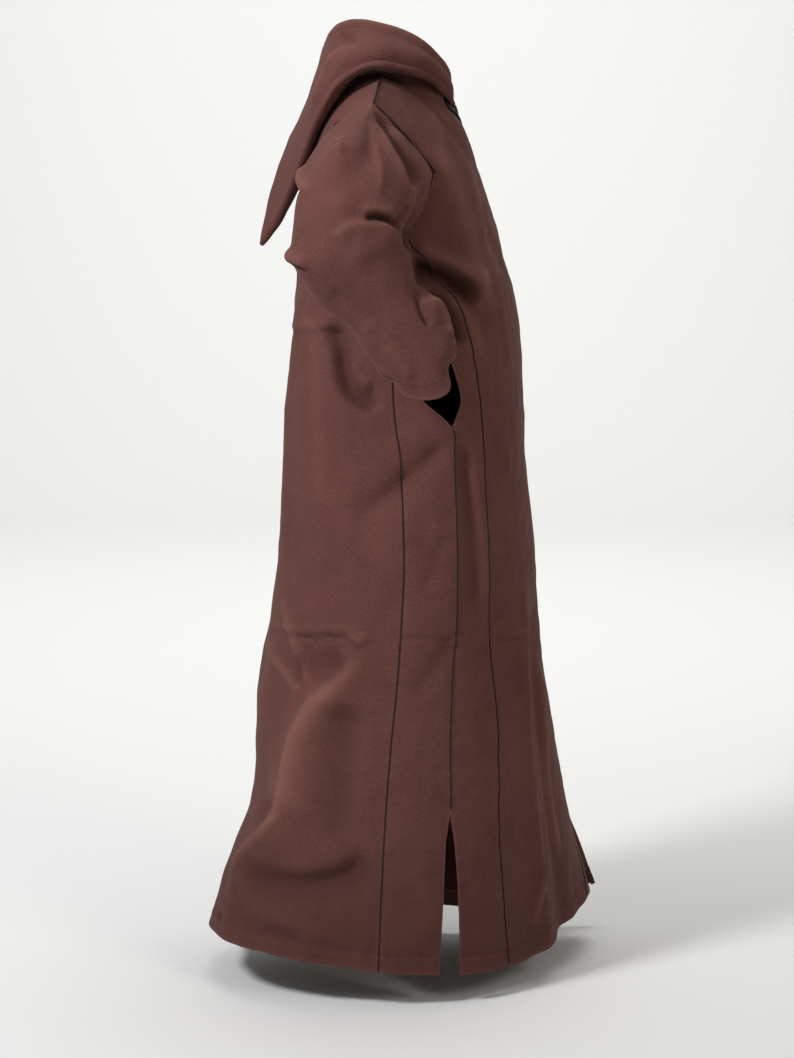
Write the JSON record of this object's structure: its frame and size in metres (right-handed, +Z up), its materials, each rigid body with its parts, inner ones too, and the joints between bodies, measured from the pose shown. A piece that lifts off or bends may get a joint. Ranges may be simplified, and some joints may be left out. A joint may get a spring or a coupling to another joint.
{
  "type": "hooded robe",
  "caption": "Long hooded djellaba robe in brown wool crepe with dark piping, hollow and worn in mid stride, hood down, hem slits open.",
  "frame": {"origin": "midway between the two shoulder points, where the wearer's shoulders carry the robe", "axes": "+Z up, the wearer faces -Y, the wearer's right is -X"},
  "size_m": [0.7184, 0.6886, 1.5728],
  "materials": {
    "cloth": "matte reddish dark brown wool crepe",
    "sleeve_cloth": "the same crepe",
    "hood_cloth": "the same crepe, seen in fuller light",
    "cord": "matte charcoal piping cord",
    "braid": "black braid"
  },
  "bodies": {
    "root": {"front_panel": "cloth", "back_panel": "cloth", "front_gore_right": "cloth", "front_gore_left": "cloth", "back_gore_right": "cloth", "back_gore_left": "cloth", "sleeve_right": "sleeve_cloth", "sleeve_left": "sleeve_cloth", "hood_right": "hood_cloth", "hood_left": "hood_cloth", "neck_braid_right": "braid", "neck_braid_left": "braid", "shoulder_piping_right": "cord", "shoulder_piping_left": "cord", "armhole_piping_right": "cord", "armhole_piping_left": "cord", "front_piping_right": "cord", "front_piping_left": "cord", "side_piping_right": "cord", "side_piping_left": "cord", "back_piping_right": "cord", "back_piping_left": "cord"}
  },
  "joints": []
}
